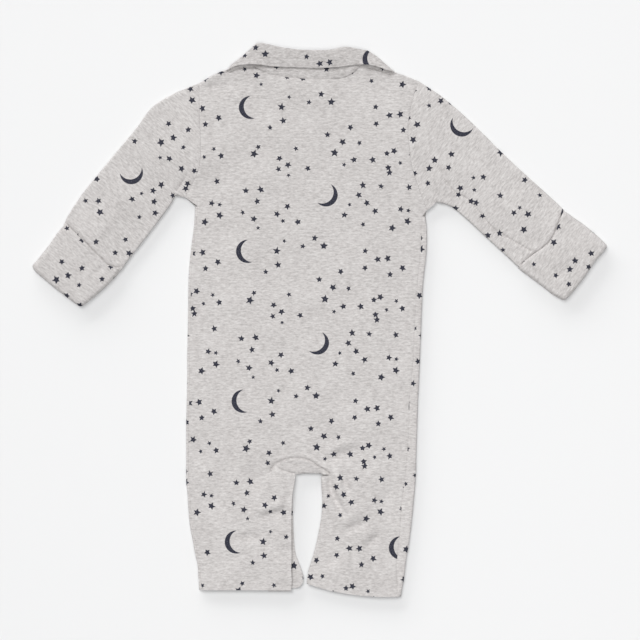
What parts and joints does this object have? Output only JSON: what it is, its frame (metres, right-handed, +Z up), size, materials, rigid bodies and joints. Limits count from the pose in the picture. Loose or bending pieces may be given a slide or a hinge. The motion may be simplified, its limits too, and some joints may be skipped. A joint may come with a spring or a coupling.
{
  "type": "footless baby romper laid face down",
  "caption": "Long-sleeved footless cotton romper with a folded collar, turned-back mitten cuffs and an inside-leg stud placket, laid flat on its front.",
  "frame": {"origin": "middle of the footprint, on the surface that the garment lies on", "axes": "+Z up from the surface, +Y towards the collar, +X to the right in a view from above, which is a view of the garment's back"},
  "size_m": [0.576, 0.5544, 0.007],
  "materials": {
    "jersey": "light grey marl cotton interlock, printed with small dark stars and moons",
    "collar_jersey": "the same marl cotton interlock, two layers, folded",
    "stud": "pressed nickel-free steel"
  },
  "bodies": {
    "root": {"back": "jersey", "front_left": "jersey", "front_right": "jersey", "crotch_gusset": "jersey", "placket_facing": "jersey", "press_stud_1": "stud", "press_stud_2": "stud", "press_stud_3": "stud", "sleeve_left": "jersey", "sleeve_right": "jersey", "mitt_left": "jersey", "mitt_right": "jersey", "collar": "collar_jersey"}
  },
  "joints": []
}
